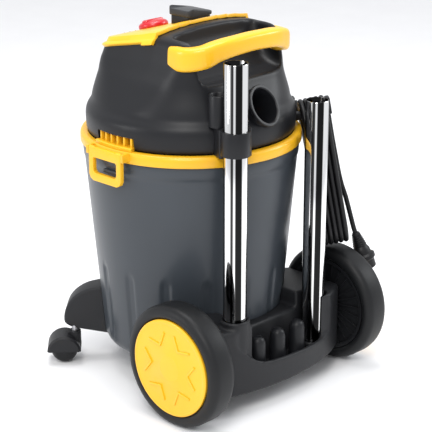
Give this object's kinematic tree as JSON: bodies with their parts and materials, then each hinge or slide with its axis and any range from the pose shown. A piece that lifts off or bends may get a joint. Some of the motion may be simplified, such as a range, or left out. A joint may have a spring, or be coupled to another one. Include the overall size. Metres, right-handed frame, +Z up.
{
  "type": "wet and dry shop vacuum",
  "caption": "Drum shop vacuum on two large wheels and two casters, with a latched motor head, tool tray, stored wand tubes and hanging mains cord.",
  "frame": {"origin": "on the floor under the middle of the vacuum, measured without its mains cord", "axes": "+Z up, +Y towards the front where the hose goes in, +X to the right seen from behind"},
  "size_m": [0.4313, 0.4244, 0.5729],
  "materials": {
    "tank_grey": "semi-gloss moulded",
    "head_black": "satin moulded",
    "yellow_plastic": "satin moulded",
    "base_grey": "fine textured",
    "tyre_rubber": "matt",
    "seal_rubber": "soft",
    "tube_chrome": "polished",
    "steel": "plain",
    "motor_metal": "pressed",
    "knob_red": "satin",
    "lid_grey": "satin",
    "cord_black": "satin",
    "filter_paper": "pleated",
    "float_white": "smooth",
    "copper_windings": "wound"
  },
  "bodies": {
    "chassis": {"tank": "tank_grey", "hose_inlet": "head_black", "inlet_deflector": "head_black", "rear_base": "base_grey", "accessory_peg_left": "base_grey", "accessory_peg_middle": "base_grey", "accessory_peg_right": "base_grey", "axle": "steel", "front_arm_left": "base_grey", "front_arm_right": "base_grey"},
    "head": {"tank_seal": "seal_rubber", "clamp_ring": "yellow_plastic", "latch_pin_left": "steel", "latch_pin_right": "steel", "air_grille_left": "yellow_plastic", "air_grille_right": "yellow_plastic", "head_shell": "head_black", "top_deck": "yellow_plastic", "handle": "yellow_plastic", "blower_port": "head_black", "tube_clip": "head_black", "accessory_socket": "head_black", "cable_hook": "head_black", "motor_base_plate": "head_black", "fan_housing": "motor_metal", "motor_frame": "motor_metal", "filter_cage": "head_black", "filter_cartridge": "filter_paper", "filter_cap": "head_black", "rotary_switch": "head_black", "outlet_body": "head_black", "strain_relief": "cord_black", "cord_lead": "cord_black", "cord_hank": "cord_black", "cord_tail": "cord_black", "mains_plug": "cord_black"},
    "rotor": {"impeller": "motor_metal", "armature": "copper_windings"},
    "float": {"float_ball": "float_white"},
    "latch_left": {"latch_left": "yellow_plastic"},
    "latch_right": {"latch_right": "yellow_plastic"},
    "knob": {"switch_knob": "knob_red"},
    "lid": {"outlet_lid": "lid_grey"},
    "wand_left": {"wand_tube_left": "tube_chrome"},
    "wand_right": {"wand_tube_right": "tube_chrome"},
    "wheel_left": {"tyre_left": "tyre_rubber", "wheel_rim_left": "base_grey", "hub_cover_left": "yellow_plastic"},
    "wheel_right": {"tyre_right": "tyre_rubber", "wheel_rim_right": "base_grey", "hub_cover_right": "yellow_plastic"},
    "caster_fork_left": {"caster_hood_left": "base_grey", "caster_stem_left": "steel", "caster_pin_left": "steel"},
    "caster_fork_right": {"caster_hood_right": "base_grey", "caster_stem_right": "steel", "caster_pin_right": "steel"},
    "caster_wheel_left": {"caster_ball_left": "base_grey"},
    "caster_wheel_right": {"caster_ball_right": "base_grey"}
  },
  "joints": [
    {"name": "head_lift", "type": "slide", "parent": "chassis", "child": "head", "axis": [0, 0, 1], "range_m": [0, 0.2]},
    {"name": "fan_spin", "type": "hinge", "parent": "head", "child": "rotor", "pos_m": [0, 0.0293, 0.42], "axis": [0, 0, 1], "continuous": true},
    {"name": "float_rise", "type": "slide", "parent": "head", "child": "float", "axis": [0, 0, 1], "range_m": [0, 0.06]},
    {"name": "latch_left_swing", "type": "hinge", "parent": "head", "child": "latch_left", "pos_m": [-0.175, 0.0293, 0.3835], "axis": [0, 1, 0], "range_deg": [0, 100]},
    {"name": "latch_right_swing", "type": "hinge", "parent": "head", "child": "latch_right", "pos_m": [0.175, 0.0293, 0.3835], "axis": [0, -1, 0], "range_deg": [0, 100]},
    {"name": "switch_turn", "type": "hinge", "parent": "head", "child": "knob", "pos_m": [0, 0.1093, 0.528], "axis": [0, 0.2723, 0.9622], "range_deg": [-45, 45]},
    {"name": "lid_open", "type": "hinge", "parent": "head", "child": "lid", "pos_m": [-0.025, 0.0293, 0.55994], "axis": [0, -1, 0], "range_deg": [0, 100], "stiffness_Nm_per_rad": 0.05, "springref_deg": -17.19},
    {"name": "wand_left_pull", "type": "slide", "parent": "chassis", "child": "wand_left", "axis": [0, 0, 1], "range_m": [0, 0.4]},
    {"name": "wand_right_pull", "type": "slide", "parent": "chassis", "child": "wand_right", "axis": [0, 0, 1], "range_m": [0, 0.4]},
    {"name": "wheel_left_roll", "type": "hinge", "parent": "chassis", "child": "wheel_left", "pos_m": [-0.1718, -0.1197, 0.0925], "axis": [1, 0, 0], "continuous": true},
    {"name": "wheel_right_roll", "type": "hinge", "parent": "chassis", "child": "wheel_right", "pos_m": [0.1718, -0.1197, 0.0925], "axis": [1, 0, 0], "continuous": true},
    {"name": "caster_left_swivel", "type": "hinge", "parent": "chassis", "child": "caster_fork_left", "pos_m": [-0.138, 0.1563, 0.05], "axis": [0, 0, 1], "continuous": true},
    {"name": "caster_right_swivel", "type": "hinge", "parent": "chassis", "child": "caster_fork_right", "pos_m": [0.138, 0.1563, 0.05], "axis": [0, 0, 1], "continuous": true},
    {"name": "caster_left_roll", "type": "hinge", "parent": "caster_fork_left", "child": "caster_wheel_left", "pos_m": [-0.15051, 0.16781, 0.0215], "axis": [-0.6772, -0.7358, 0], "continuous": true},
    {"name": "caster_right_roll", "type": "hinge", "parent": "caster_fork_right", "child": "caster_wheel_right", "pos_m": [0.15051, 0.16781, 0.0215], "axis": [0.6772, -0.7358, 0], "continuous": true}
  ]
}
